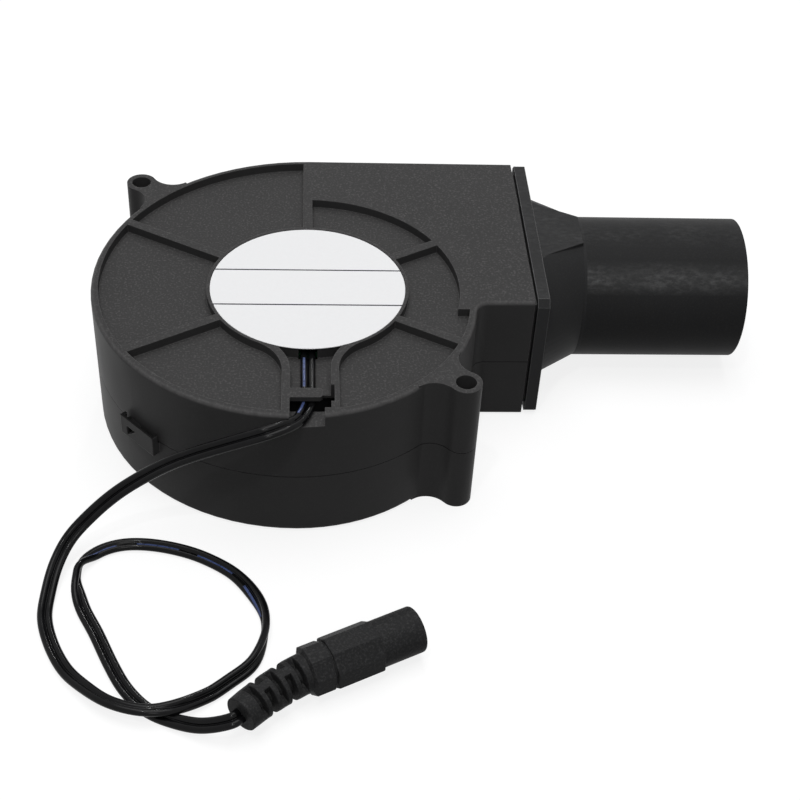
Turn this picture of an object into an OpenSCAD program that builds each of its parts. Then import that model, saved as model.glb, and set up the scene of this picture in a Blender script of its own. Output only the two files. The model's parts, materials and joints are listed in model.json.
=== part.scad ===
// Centrifugal blower, 12 V class, with a push-on outlet adapter and a lead with an inline jack.
// Frame: the impeller axis is Z, the inlet face is z = 0, the outlet points along +X.
// Lengths are millimetres.

/* [Housing] */
// Height of the closed housing
housing_h = 33; // [32:0.5:38]
// Height of the parting line between the two shells
parting_z = 16; // [14:0.5:18]
// Wall of both shells
wall = 2; // [1.8:0.1:2.4]
// Radius of the first and widest arc of the scroll
scroll_r = 47.9; // [46.5:0.1:52]
// Sideways step from the first to the second arc centre
scroll_step_x = 2.6; // [1:0.1:3.5]
// Room between the impeller and the scroll's wall, measured on the third and smallest arc
throat_gap = 4.2; // [3:0.1:6]
// First arc centre, to the right of the impeller axis
scroll_cx = 0.5; // [0:0.1:1.5]
// First arc centre, behind the impeller axis
scroll_cy = 2.75; // [2:0.05:4]
// Round on the outer edges of both shells
edge_round = 1.1; // [0.4:0.1:1.5]
// Clear gap in the lap joint between the shells
lap_clear = 0.1; // [0.05:0.05:0.2]
// Height of the lap joint lip
lap_h = 1.2; // [0.6:0.1:2]

/* [Outlet] */
// Distance of the outlet mouth from the axis
outlet_x = 49.9; // [48:0.1:60]
// Distance of the front outlet wall from the axis
outlet_front = 5.3; // [4.5:0.1:6]
// Fillet between the scroll and the front outlet wall
tongue_fillet = 3; // [2:0.1:4]

/* [Mounting ears] */
// Side of the square on whose diagonal the two ear holes lie
ear_square = 72; // [71:0.5:76]
// Left ear, to the left of the axis
ear_left = 39.5; // [38:0.5:42]
// Left ear, behind the axis
ear_back = 40; // [38:0.5:42]
// Ear hole diameter
ear_hole_d = 4.4; // [3.2:0.1:5]
// Wall round an ear hole
ear_wall = 1.2; // [1:0.1:2]
// Fillet between an ear and the scroll
ear_fillet = 5; // [3:0.5:6]
// Narrowest web between an ear and the scroll
ear_web = 3; // [2:0.1:4]

/* [Motor plate] */
// Depth of the recesses in the motor plate
recess_d = 2.1; // [1:0.1:3]
// Floor under the recesses
plate_t = 1.7; // [1.2:0.1:2.2]
// Width of the ribs
rib_w = 2.1; // [1.2:0.1:3]
// Rim between the recesses and the outer wall
rim_w = 1.6; // [1.2:0.1:2.2]
// Radius of the raised hub
hub_r = 22.2; // [21.8:0.1:23]
// Radius of the recesses on the outlet side
pocket_r = 33.5; // [30:0.1:34]
// Label diameter
label_d = 42.9; // [38:0.1:43]
// Label thickness
label_t = 0.2; // [0.1:0.05:0.3]

/* [Wire channel] */
// Clear width of the channel
channel_w = 8.4; // [7:0.1:9]
// Thickness of the channel walls
channel_wall = 1.7; // [1:0.1:2]
// Fillet that leads each channel wall into the hub
channel_fillet = 10; // [6:0.5:12]
// Height of the channel floor under the plate's top
channel_d = 3; // [2.6:0.1:3.4]
// Thickness of the hook over the wires
hook_t = 1.2; // [0.8:0.1:1.4]
// Diameter of one strand of the lead
strand_d = 1.3; // [1.1:0.1:1.5]

/* [Impeller] */
// Radius of the impeller
impeller_r = 33; // [31:0.1:33.5]
// Number of blades
blade_n = 37; // [25:1:43]
// Radius where the blades start
blade_in_r = 25.5; // [24.5:0.1:27]
// Blade thickness
blade_t = 0.9; // [0.6:0.1:1.2]
// Radius of a blade's curve
blade_curve_r = 7; // [6.5:0.1:9]
// Radius of the air inlet
inlet_r = 27.5; // [26:0.1:28.5]
// Running gap between the impeller and the inlet floor
impeller_gap = 1.4; // [1.2:0.1:2]

/* [Motor] */
// Shaft diameter
shaft_d = 3; // [2.6:0.1:3.2]
// Outer diameter of the ball bearings
bearing_d = 8; // [7.8:0.1:8.6]
// Width of a ball bearing
bearing_w = 4; // [3.6:0.1:4.4]
// Ball diameter
ball_d = 1.5; // [1.2:0.1:1.6]
// Number of balls in a bearing
ball_n = 7; // [6:1:8]
// Wall of the bearing tube at the bearings
tube_wall = 0.6; // [0.5:0.1:1]
// Radius of the stator
stator_r = 15.3; // [14.5:0.1:15.6]
// Height of the lamination stack
stator_h = 8; // [6:0.5:8.5]
// Air gap between stator and magnet
air_gap = 0.6; // [0.4:0.1:0.8]
// Radial thickness of the magnet
magnet_t = 1.1; // [0.8:0.1:1.4]
// Wall of the steel yoke
yoke_t = 1; // [0.8:0.1:1.2]
// Wall of the impeller hub
hub_wall = 1.4; // [1:0.1:1.8]

/* [Outlet adapter] */
// Thickness of the flange
flange_t = 2.7; // [2:0.1:4]
// Gap between the outlet mouth and the flange
flange_gap = 0.7; // [0.2:0.1:1]
// Corner cut of the flange
flange_cut = 1.5; // [0.5:0.1:2]
// Length of the cone from flange to pipe
cone_len = 10.3; // [8:0.1:16]
// Step from the side edges of the flange in to the cone
cone_in = 2.9; // [0.3:0.1:5]
// Half height of the cone at the flange, before its top and bottom are cut flat
cone_half_h = 18.6; // [17:0.1:19]
// Half width of the cone's flat top and bottom at the flange
flat_near = 11.5; // [8:0.1:14]
// Half width of the cone's flat top and bottom at the pipe
flat_far = 5.3; // [3:0.1:8]
// Length of the round pipe
pipe_len = 38.4; // [20:0.1:80]
// Outer diameter of the round pipe
pipe_d = 33; // [30:0.1:33]
// Wall of the pipe and cone
pipe_wall = 2; // [1.6:0.1:2.4]
// Depth of the spigot in the outlet
spigot_len = 7; // [4:0.5:9]
// Wall of the spigot
spigot_wall = 1.5; // [1:0.1:2]
// Clear gap round the spigot
spigot_clear = 0.15; // [0.1:0.05:0.3]

/* [Jack] */
// Diameter of the jack's round barrel
barrel_d = 9.5; // [9.2:0.1:9.8]
// Length of the barrel
barrel_len = 9.5; // [8:0.1:12]
// Width across the flats of the eight-sided grip
grip_af = 10; // [9.9:0.1:11]
// Length of the grip
grip_len = 10; // [8:0.5:14]
// Length of the collar behind the grip
collar_len = 4.7; // [3:0.1:6]
// Groove between collar and grip
groove_w = 0.5; // [0.3:0.1:0.8]
// Length of the strain relief
relief_len = 15.4; // [14:0.1:20]
// Diameter of the strain relief at its end
relief_d = 6.8; // [6.2:0.1:7.2]
// Bend of the strain relief, in degrees
relief_bend = 14; // [0:1:20]
// Diameter of the plug opening
socket_d = 5.7; // [5.6:0.1:5.9]
// Depth of the plug opening
socket_depth = 9.5; // [8:0.1:11]
// Diameter of the jack's centre pin
pin_d = 2; // [1.6:0.1:2.4]

/* [Hidden] */
$fn = 96;
// A length past a face, so that cuts go right through
past = 1;
// Steps of a quarter arc in an outline
arc_steps = 20;
edge_steps = 4;
tongue_steps = 6;

// Scroll: three arc centres and radii, each arc a quarter turn or less
c1 = [scroll_cx, scroll_cy];
c2 = c1 - [scroll_step_x, 0];
r2 = scroll_r - scroll_step_x;
r3 = impeller_r + throat_gap + wall;
c3 = c2 - [0, r2 - r3];
back_y = scroll_cy + scroll_r;
near_y = scroll_cy - r2;
front_y = -outlet_front;
// Centre of the tongue fillet, tangent to the third arc and the front outlet wall
tongue_y = front_y - tongue_fillet;
tongue_c = [c3.x + sqrt(pow(r3 + tongue_fillet, 2) - pow(tongue_y - c3.y, 2)), tongue_y];
tongue_a = atan2(tongue_c.y - c3.y, tongue_c.x - c3.x);

// Ears
ear_r = ear_hole_d / 2 + ear_wall;
// The ear fillets dip this far into the scroll, so that they cross its wall
ear_sink = 0.2;
ear_a = [-ear_left, ear_back];
ear_b = ear_a + [ear_square, -ear_square];

// Heights in the motor plate
recess_z = housing_h - recess_d;
ceiling_z = recess_z - plate_t;
channel_z = housing_h - channel_d;
label_seat = 0.3;
label_edge = 0.15;
outlet_roof_z = housing_h - wall;
roof_x = pocket_r + wall;
// The right-hand recesses step out to the rim in front of this line
pocket_step = 7.7;

// Wire channel: its middle line, walls, flare centres, hub face under the label's edge, well, hook and notch
channel_x = 0.5;
channel_left = channel_x - channel_w / 2;
channel_right = channel_x + channel_w / 2;
flare_left = channel_left - channel_wall - channel_fillet;
flare_right = channel_right + channel_wall + channel_fillet;
flare_reach = hub_r + channel_fillet;
hub_under = 1;
hub_face = hub_r - hub_under;
well_in = 12.5;
well_over = 0.2;
well_out = hub_face + well_over;
well_w = 4;
hook_in = 7.15;
hook_y = near_y + hook_in;
hook_len = 2.8;
hook_gap = 1.7;
shutoff_len = 5;
hook_relief = 0.7;
notch_right = 3.4;

// Impeller over the inlet floor, and the motor stack that hangs from the ceiling
lip_w = 1.2;
lip_h = 0.8;
ring_z = wall + impeller_gap;
ring_t = 1.5;
ring_w = 2.5;
blade_inset = 0.15;
magnet_in = stator_r + air_gap;
yoke_in = magnet_in + magnet_t;
yoke_out = yoke_in + yoke_t;
hub_out = yoke_out + hub_wall;
bush_h = 3;
bush_wall = 2.4;
bush_r = shaft_d / 2 + bush_wall;
bush_clear = 0.05;
tube_r = bearing_d / 2 + tube_wall;
bearing_step = 0.7;
insulator_t = 1.5;
board_t = 1.2;
board_drop = 4.8;
board_z = ceiling_z - board_drop;
board_stand = 2.4;
stator_top = board_z - board_stand - insulator_t;
stator_z = stator_top - stator_h;
stator_lift = 1.5;
lower_bearing_z = stator_z - stator_lift;
tube_skirt = 0.4;
tube_z = lower_bearing_z - tube_skirt;
spring_h = 1.4;
bush_top = lower_bearing_z - spring_h;
yoke_z = bush_top - bush_h;
hub_floor_t = 1.6;
hub_z = yoke_z - hub_floor_t;
board_inset = 0.9;
board_r = stator_r - board_inset;
board_clear = 0.2;
post_r = 0.6;
boss_wall = 1.2;
boss_r = tube_r + boss_wall;
boss_skirt = 0.4;
boss_z = board_z - boss_skirt;
tube_sunk = 0.8;
tube_top = ceiling_z + tube_sunk;
bearing_skirt = 2;
upper_bearing_z = boss_z - bearing_skirt;
clip_t = 0.5;
clip_gap = 0.1;
clip_z = upper_bearing_z + bearing_w + clip_gap;
clip_groove = 0.35;
clip_w = 1.2;
shaft_end = 1.4;
shaft_top = clip_z + clip_t + shaft_end;
back_plate_t = 1.5;
back_plate_drop = 4.6;
back_plate_top = ceiling_z - back_plate_drop;
back_plate_z = back_plate_top - back_plate_t;
yoke_drop = 1.2;
yoke_top = back_plate_top - yoke_drop;
magnet_h = 12;
magnet_drop = 0.5;
magnet_z = yoke_top - magnet_drop - magnet_h;

// Circuit parts: radius of their places, then length along it, width and height
parts_r = 10;
resistor_r = 11;
chip_l = 4;
chip_w = 5;
chip_h = 1.6;
cap_w = 3;
cap_h = 1.5;
sensor_l = 2.4;
sensor_w = 3;
sensor_h = 1.1;
resistor_l = 1.6;
resistor_w = 3.2;
resistor_h = 1;
small_l = 1.2;
small_w = 2;
small_h = 0.6;

// Bearing races
ball_pitch_r = (bearing_d + shaft_d) / 4;
groove_clear = 0.05;
race_gap = 0.9;

// Stator poles and coils
pole_n = 4;
pole_neck = 4.2;
pole_tip = 2.2;
pole_slot = 3;
coil_side = 1.3;
coil_over = 0.8;
coil_clear = 0.2;
core_hub_w = 2.2;
core_hub_r = tube_r + core_hub_w;

// Outlet adapter
flange_x = outlet_x + flange_gap;
cone_x = flange_x + flange_t;
pipe_x = cone_x + cone_len;
duct_y = (back_y + front_y) / 2;
cone_half_w = (back_y - front_y) / 2 - cone_in;
// The pipe's underside is level with the inlet face
duct_z = pipe_d / 2;
cone_steps = 64;
seam = 0.05;
lap_into = 0.4;

// Snap catches: the pad on the lower shell and the barb of the upper one
catch_angle = -136.5;
catch_back_x = 22;
pad_len = 10.6;
pad_below = 3;
pad_above = 2;
pad_z = parting_z - pad_below;
pad_out = 1.5;
slot_len = 9.4;
slot_w = 0.9;
slot_floor = 0.6;
catch_clear = 0.1;
barb_out = 0.6;
barb_h = 0.9;
window_w = 2.9;
window_h = 2.6;
window_y = -3.3;

// Jack: collar's rear centre and heading, then its stations from there to the front
jack_at = [-0.7, -84.5, grip_af / 2];
jack_turn = 26;
grip_u = collar_len + groove_w;
barrel_u = grip_u + grip_len;
jack_len = barrel_u + barrel_len;
groove_d = 0.3;
collar_less = 0.4;
collar_af = grip_af - collar_less;
relief_grow = 1.5;
relief_big_d = relief_d + relief_grow;
// The strain relief leaves the collar at a bend and ends where the lead goes in
relief_turn = jack_turn + relief_bend;
relief_axis = [cos(relief_turn), sin(relief_turn), 0];
jack_rear = jack_at - relief_len * relief_axis;
relief_core_d = 4.6;
relief_web = 1.8;
relief_slots = 3;
relief_slot_w = 1.3;
relief_ring_w = 2.9;
insulator_r = 3.8;
insulator_in = 0.4;
pin_in = 1.6;
contact_in = 1.4;
socket_base = 2.5;
contact_t = 0.3;
contact_w = 1.6;

// Free lead: a flat twin of two strands, from the channel's notch to the jack
cord_w = 2 * strand_d;
strand_gap = 0.1;
strand_x = strand_d / 2 + strand_gap / 2;
strand_lift = 0.05;
strand_z = channel_z + strand_d / 2 + strand_lift;
cord_in = 2.05;
cord_start = [0, near_y + cord_in, strand_z];
cord_lead = 1;
cord_rest = 0.7;
cord_route = [
    cord_start, cord_start - [0, cord_lead, 0], [-1, -43.2, 31.2], [-4, -44.8, 31.8],
    [-9, -45.6, 31], [-15.5, -45.6, 28.3], [-22.5, -44.6, 24.5], [-28, -43.8, 21],
    [-33.5, -43.5, 17], [-39, -44.2, 13], [-44, -46, 9], [-48.5, -49.5, 5.5], [-51, -54.5, 3],
    [-52, -61, 1.5], [-52, -67, cord_rest], [-50, -73.5, cord_rest], [-46.5, -80, 1],
    [-42, -85, 1.8], [-37, -89, 2.6], [-31, -91, 2.8], [-25.5, -90.5, 2.6], [-20, -87.5, 1.6],
    [-15, -83.5, cord_rest], [-10.5, -79, cord_rest], [-8.5, -73, cord_rest], [-8.5, -67, cord_rest],
    [-11, -61, cord_rest], [-15, -55.5, cord_rest], [-21, -51.2, cord_rest], [-27, -48.6, cord_rest],
    [-33.5, -47.2, cord_rest], [-39, -47.4, cord_rest], [-43.5, -49.5, cord_rest],
    [-46.5, -53.5, cord_rest], [-46.6, -58.5, cord_rest], [-44.8, -64.5, cord_rest],
    [-41.5, -71, cord_rest], [-38, -78.5, cord_rest], [-35, -84, cord_rest], [-32, -88.5, cord_rest],
    [-29, -91.5, cord_rest], [-25, -93.8, cord_rest], [-20.5, -95.7, 1.6], [-17, -96.8, 3.4],
    jack_rear - 2 * cord_lead * relief_axis, jack_rear];
cord_sides = 8;
wire_sides = 10;
// The strands leave the board inside the well's edge, and bend into the channel
wire_in = 1.2;
wire_bend = 1.6;

// Points of an arc, both ends included
function arc(c, r, a0, a1, n) = [for (i = [0:n])
    let (a = a0 + (a1 - a0) * i / n) c + r * [cos(a), sin(a)]];

// The scroll's outline, drawn in by inset, with its mouth at x_end.
// It starts at a point that sees all the others, so that its flat faces split cleanly.
function scroll(inset, x_end) = concat(
    arc(c1, scroll_r - inset, 90, 180, arc_steps),
    arc(c2, r2 - inset, 180, 270, arc_steps),
    arc(c3, r3 - inset, 270, 360 + tongue_a, arc_steps),
    arc(tongue_c, tongue_fillet + inset, 180 + tongue_a, 90, tongue_steps),
    [[x_end, front_y + inset], [x_end, back_y - inset]]);

// A flat outline at height z
function at_z(outline, z) = [for (p = outline) [p.x, p.y, z]];

// Centre of a fillet of radius f between circles (a, ra) and (b, rb), on the given side of a to b
function fillet_centre(a, ra, b, rb, f, side) =
    let (d = norm(b - a), u = (b - a) / d, m = (pow(ra + f, 2) - pow(rb + f, 2) + d * d) / (2 * d),
         h = sqrt(pow(ra + f, 2) - m * m))
    a + m * u + side * h * [-u.y, u.x];

function unit(v) = v / norm(v);

// A smooth curve through points, with sub steps between each pair
function curve_point(a, b, c, d, t) = 0.5 * ((2 * b) + (c - a) * t + (2 * a - 5 * b + 4 * c - d) * t * t
    + (3 * b - a - 3 * c + d) * t * t * t);
function curve(p, sub) = let (n = len(p) - 1) concat(
    [for (i = [0:n - 1]) for (k = [0:sub - 1])
        curve_point(p[max(i - 1, 0)], p[i], p[i + 1], p[min(i + 2, n)], k / sub)], [p[n]]);

// Rings of an oval section along a path, upright towards ref
function rings(path, w, h, sides, ref) = [for (i = [0:len(path) - 1])
    let (t = unit(path[min(i + 1, len(path) - 1)] - path[max(i - 1, 0)]),
         s = unit(cross(ref, t)), u = cross(t, s))
    [for (k = [0:sides - 1]) path[i] + s * w / 2 * cos(360 * k / sides) + u * h / 2 * sin(360 * k / sides)]];

// A closed skin over a row of rings with equal point counts
module skin(ring_list) {
    n = len(ring_list[0]);
    m = len(ring_list) - 1;
    polyhedron(
        points = [for (ring = ring_list) for (p = ring) p],
        faces = concat(
            [[for (j = [0:n - 1]) j]],
            [for (i = [0:m - 1]) for (j = [0:n - 1])
                [i * n + j, (i + 1) * n + j, (i + 1) * n + (j + 1) % n, i * n + (j + 1) % n]],
            [[for (j = [n:-1:1]) m * n + j % n]]),
        convexity = 10);
}

// A drawn ring from z0 to z1
module ring(r_out, r_in, z0, z1) {
    translate([0, 0, z0]) difference() {
        cylinder(r = r_out, h = z1 - z0);
        translate([0, 0, -past]) cylinder(r = r_in, h = z1 - z0 + 2 * past);
    }
}

// One ear with its filleted web, in plan
module ear_plan(e, c, r) {
    g1 = fillet_centre(c, r - ear_sink, e, ear_r, ear_fillet, 1);
    g2 = fillet_centre(c, r - ear_sink, e, ear_r, ear_fillet, -1);
    inner = r - wall / 2;
    difference() {
        polygon([e, g1, c + unit(g1 - c) * inner, c + unit(g2 - c) * inner, g2]);
        translate(g1) circle(r = ear_fillet);
        translate(g2) circle(r = ear_fillet);
    }
    translate(e) circle(r = ear_r);
    translate(c) rotate(atan2(e.y - c.y, e.x - c.x)) translate([inner, -ear_web / 2])
        square([norm(e - c) - inner, ear_web]);
}

module ears_plan() {
    ear_plan(ear_a, c1, scroll_r);
    ear_plan(ear_b, c3, r3);
}

module ear_holes() {
    for (e = [ear_a, ear_b])
        translate([e.x, e.y, -past]) cylinder(d = ear_hole_d, h = housing_h + 2 * past);
}

// Places its children at each snap catch, x outward from the wall
module at_catches() {
    translate([c2.x, c2.y, 0]) rotate(catch_angle) translate([r2, 0, 0]) children();
    translate([catch_back_x, back_y, 0]) rotate(90) children();
}

// Plan of the channel, from its middle line out to the given wall offset
module channel_plan(grow) {
    left_c = [flare_left, -sqrt(pow(flare_reach, 2) - pow(flare_left, 2))];
    right_c = [flare_right, -sqrt(pow(flare_reach, 2) - pow(flare_right, 2))];
    cut = channel_fillet + channel_wall - grow;
    difference() {
        union() {
            polygon([left_c, right_c, unit(right_c) * hub_r, [0, 0], unit(left_c) * hub_r]);
            translate([channel_left - grow, -r2 - past]) square([channel_w + 2 * grow, r2 - hub_r]);
        }
        translate(left_c) circle(r = cut);
        translate(right_c) circle(r = cut);
    }
}

// Plan of all recesses in the motor plate
module recess_plan() {
    difference() {
        union() {
            circle(r = pocket_r);
            intersection() {
                polygon(scroll(rim_w, outlet_x));
                union() {
                    translate([-2 * scroll_r, -2 * scroll_r]) square([2 * scroll_r, 4 * scroll_r]);
                    translate([-past, -2 * scroll_r]) square([2 * scroll_r, 2 * scroll_r - pocket_step]);
                }
            }
        }
        circle(r = hub_r);
        for (a = [30, 90, 150, 210, 330]) rotate(a) translate([0, -rib_w / 2]) square([2 * scroll_r, rib_w]);
        channel_plan(channel_wall);
    }
}

// Cuts of the wire channel: floor, well under the label, rim notch, shut-off hole and its relief
module channel_cuts() {
    translate([0, 0, channel_z]) linear_extrude(channel_d + past) difference() {
        channel_plan(0);
        circle(r = hub_face);
        translate([-2 * scroll_r, -4 * scroll_r + hook_y - hook_len - hook_gap]) square(4 * scroll_r);
    }
    translate([channel_left, hook_y - r2, channel_z])
        cube([notch_right - channel_left, r2 - hook_len, channel_d + past]);
    translate([-well_w / 2, -well_out, ceiling_z - past])
        cube([well_w, well_out - well_in, housing_h - ceiling_z + 2 * past]);
    translate([channel_left, hook_y - shutoff_len / 2, ceiling_z - past])
        cube([channel_w, shutoff_len, channel_z - ceiling_z + 2 * past]);
    translate([channel_right - past, hook_y - shutoff_len / 2, ceiling_z - past])
        cube([past + hook_relief, shutoff_len, housing_h - ceiling_z + 2 * past]);
}

// Hook that holds the wires down in the channel
module wire_hook() {
    reach = channel_w - hook_gap;
    end_r = 0.8;
    translate([channel_left - channel_wall / 2, hook_y - hook_len / 2, housing_h - hook_t]) {
        cube([reach + channel_wall / 2 - end_r, hook_len, hook_t]);
        translate([0, end_r, 0]) cube([reach + channel_wall / 2, hook_len - 2 * end_r, hook_t]);
        for (y = [end_r, hook_len - end_r])
            translate([reach + channel_wall / 2 - end_r, y, 0]) cylinder(r = end_r, h = hook_t, $fn = 24);
    }
}

module motor_housing() color("#3a3a3c") {
    edge = arc([edge_round, housing_h - edge_round], edge_round, 180, 90, edge_steps);
    difference() {
        union() {
            skin(concat([at_z(scroll(0, outlet_x), parting_z)],
                [for (e = edge) at_z(scroll(e.x, outlet_x), e.y)]));
            translate([0, 0, parting_z]) linear_extrude(housing_h - parting_z) ears_plan();
        }
        // Fan chamber, outlet roof and lap joint rebate
        difference() {
            translate([0, 0, parting_z - past]) linear_extrude(ceiling_z - parting_z + past)
                polygon(scroll(wall, outlet_x + past));
            translate([0, 0, boss_z]) cylinder(r = boss_r, h = housing_h);
        }
        translate([roof_x, front_y + wall, parting_z])
            cube([outlet_x, back_y - front_y - 2 * wall, outlet_roof_z - parting_z]);
        translate([0, 0, parting_z - past]) linear_extrude(lap_h + lap_clear + past)
            polygon(scroll(wall / 2, outlet_x + past));
        translate([0, 0, recess_z]) linear_extrude(recess_d + past) recess_plan();
        channel_cuts();
        translate([0, 0, housing_h - label_seat]) cylinder(r = label_d / 2 + label_edge, h = past);
        translate([0, 0, boss_z - past]) cylinder(r = tube_r, h = tube_top - boss_z + past);
        ear_holes();
    }
    wire_hook();
    at_catches() catch_barb();
}

// Snap barb on the upper wall, behind the pad and over its window
module catch_barb() {
    translate([0, window_y + window_w, parting_z]) rotate([90, 0, 0]) linear_extrude(window_w)
        polygon([[-wall / 4, catch_clear], [barb_out, catch_clear], [barb_out, barb_h / 2], [0, barb_h],
            [-wall / 4, barb_h]]);
}

// Pad that stands up from the lower shell over the upper wall
module catch_pad() {
    translate([-wall / 2, -pad_len / 2, pad_z]) cube([wall / 2 + pad_out, pad_len, parting_z - pad_z]);
    translate([catch_clear, -pad_len / 2, pad_z]) cube([pad_out - catch_clear, pad_len, pad_below + pad_above]);
}

// Slot behind the pad, open at the top, and a three-cornered window in its face
module catch_slot() {
    translate([0, -slot_len / 2, pad_z + slot_floor]) cube([slot_w, slot_len, pad_below + pad_above]);
    translate([0, window_y, parting_z]) rotate([90, 0, 90]) linear_extrude(pad_out + past)
        polygon([[0, 0], [window_w, 0], [0, -window_h]]);
}

// Outside of the lower shell, with the lip of the lap joint on its rim
module lower_block() {
    edge = arc([edge_round, edge_round], edge_round, 270, 180, edge_steps);
    lip_z = parting_z + lap_h;
    difference() {
        union() {
            skin(concat([for (e = edge) at_z(scroll(e.x, outlet_x), e.y)],
                [at_z(scroll(0, outlet_x), lip_z + past)]));
            linear_extrude(parting_z) ears_plan();
        }
        translate([0, 0, parting_z]) linear_extrude(lap_h + 2 * past) difference() {
            square(4 * scroll_r, center = true);
            polygon(scroll(wall / 2 + lap_clear, outlet_x + past));
        }
        translate([-2 * scroll_r, -2 * scroll_r, lip_z]) cube([4 * scroll_r, 4 * scroll_r, 2 * past]);
    }
}

module inlet_housing() color("#2c2c2e") {
    difference() {
        union() {
            lower_block();
            at_catches() catch_pad();
        }
        translate([0, 0, wall]) linear_extrude(parting_z + lap_h) polygon(scroll(wall, outlet_x + past));
        translate([0, 0, -past]) cylinder(r = inlet_r, h = wall + 2 * past);
        at_catches() catch_slot();
        ear_holes();
    }
    // Lip of the inlet, inside the shroud ring
    ring(inlet_r + lip_w, inlet_r, wall, wall + lip_h);
}

module motor_label() color("white") {
    translate([0, 0, housing_h - label_seat]) cylinder(d = label_d, h = label_t);
}

// Ring of an ellipse or circle across the duct at x
function duct_ring(x, half_w, half_h) = [for (k = [0:cone_steps - 1])
    [x, duct_y + half_w * cos(360 * k / cone_steps), duct_z + half_h * sin(360 * k / cone_steps)]];

module flange_plan() {
    polygon([[front_y + flange_cut, 0], [back_y - flange_cut, 0], [back_y, flange_cut],
        [back_y, housing_h - flange_cut], [back_y - flange_cut, housing_h],
        [front_y + flange_cut, housing_h], [front_y, housing_h - flange_cut], [front_y, flange_cut]]);
}

// Plan of the cone's flat top and bottom, which narrow from the flange to the pipe
module flats_plan() {
    x0 = cone_x - flange_t / 2;
    x1 = pipe_x + seam;
    polygon([[x0, duct_y - flat_near], [x1, duct_y - flat_far], [x1, duct_y + flat_far],
        [x0, duct_y + flat_near]]);
}

module outlet_adapter() color("#333335") {
    tube = pipe_d / 2;
    in_r = tube - pipe_wall;
    spigot_w = back_y - front_y - 2 * wall - 2 * spigot_clear;
    spigot_h = outlet_roof_z - wall - 2 * spigot_clear;
    difference() {
        union() {
            translate([flange_x, 0, 0]) rotate([90, 0, 90]) linear_extrude(flange_t) flange_plan();
            intersection() {
                union() {
                    skin([duct_ring(cone_x - lap_into, cone_half_w, cone_half_h),
                        duct_ring(pipe_x, tube - seam, tube - seam),
                        duct_ring(pipe_x + lap_into, tube - seam, tube - seam)]);
                    translate([0, 0, -past]) linear_extrude(housing_h + 2 * past) flats_plan();
                }
                translate([flange_x, -scroll_r, seam])
                    cube([2 * scroll_r, 3 * scroll_r, housing_h - 2 * seam]);
            }
            translate([pipe_x, duct_y, duct_z]) rotate([0, 90, 0]) cylinder(r = tube, h = pipe_len);
        }
        intersection() {
            skin([duct_ring(flange_x - past, cone_half_w - pipe_wall, cone_half_h - pipe_wall),
                duct_ring(flange_x + flange_t / 2, cone_half_w - pipe_wall, cone_half_h - pipe_wall),
                duct_ring(pipe_x, in_r - seam, in_r - seam),
                duct_ring(pipe_x + lap_into, in_r - seam, in_r - seam)]);
            translate([0, -scroll_r, pipe_wall]) cube([3 * scroll_r, 3 * scroll_r, housing_h - 2 * pipe_wall]);
        }
        translate([pipe_x, duct_y, duct_z]) rotate([0, 90, 0]) cylinder(r = in_r, h = pipe_len + past);
    }
    difference() {
        translate([flange_x - spigot_len - flange_gap, duct_y - spigot_w / 2, wall + spigot_clear])
            cube([spigot_len + flange_gap, spigot_w, spigot_h]);
        translate([outlet_x - spigot_len - past, duct_y - spigot_w / 2 + spigot_wall,
            wall + spigot_clear + spigot_wall])
            cube([spigot_len + flange_gap + 2 * past, spigot_w - 2 * spigot_wall, spigot_h - 2 * spigot_wall]);
    }
}

module bearing_tube() color("goldenrod") {
    shoulder_r = bearing_d / 2 - bearing_step;
    difference() {
        ring(tube_r, shoulder_r, tube_z, tube_top);
        translate([0, 0, tube_z - past])
            cylinder(d = bearing_d, h = lower_bearing_z + bearing_w - tube_z + past);
        translate([0, 0, upper_bearing_z]) cylinder(d = bearing_d, h = tube_top - upper_bearing_z + past);
    }
}

// Plan of the lamination: hub, four necks and their curved tips
module lamination_plan() {
    difference() {
        union() {
            circle(r = core_hub_r);
            for (i = [0:pole_n - 1]) rotate(360 / pole_n * i)
                translate([0, -pole_neck / 2]) square([stator_r - pole_tip / 2, pole_neck]);
            difference() {
                circle(r = stator_r);
                circle(r = stator_r - pole_tip);
                for (i = [0:pole_n - 1]) rotate(360 / pole_n * (i + 0.5))
                    translate([0, -pole_slot / 2]) square([2 * stator_r, pole_slot]);
            }
        }
        circle(r = tube_r);
    }
}

module stator_core() color("gray") {
    translate([0, 0, stator_z]) linear_extrude(stator_h) lamination_plan();
}

// One coil frame: a hub, four arms over the necks and outer stops
module coil_frame() {
    stop_r = stator_r - pole_tip - coil_clear;
    linear_extrude(insulator_t) difference() {
        union() {
            circle(r = core_hub_r);
            for (i = [0:pole_n - 1]) rotate(360 / pole_n * i)
                translate([0, -pole_neck / 2]) square([stop_r, pole_neck]);
        }
        circle(r = tube_r);
    }
}

module stator_insulators() color("ivory") {
    translate([0, 0, stator_z - insulator_t]) coil_frame();
    translate([0, 0, stator_top]) coil_frame();
    // Posts that carry the circuit board
    for (i = [0:pole_n - 1]) rotate(360 / pole_n * i)
        translate([boss_r + post_r + board_clear / 2, 0, stator_top + insulator_t / 2])
            cylinder(r = post_r, h = board_stand + insulator_t / 2, $fn = 32);
}

// One coil round a neck and its frame arms
module coil() {
    r0 = boss_r + 2 * post_r + 2 * board_clear;
    r1 = stator_r - pole_tip - 3 * coil_clear;
    core_h = stator_h + 2 * insulator_t;
    translate([r0, 0, stator_z + stator_h / 2]) rotate([90, 0, 90]) linear_extrude(r1 - r0) difference() {
        square([pole_neck + 2 * coil_side, core_h + 2 * coil_over], center = true);
        square([pole_neck, core_h], center = true);
    }
}

module stator_windings() color("#b5651d") {
    for (i = [0:pole_n - 1]) rotate(360 / pole_n * i) coil();
}

module circuit_board() color("darkgreen") {
    ring(board_r, boss_r + board_clear, board_z, board_z + board_t);
}

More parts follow.
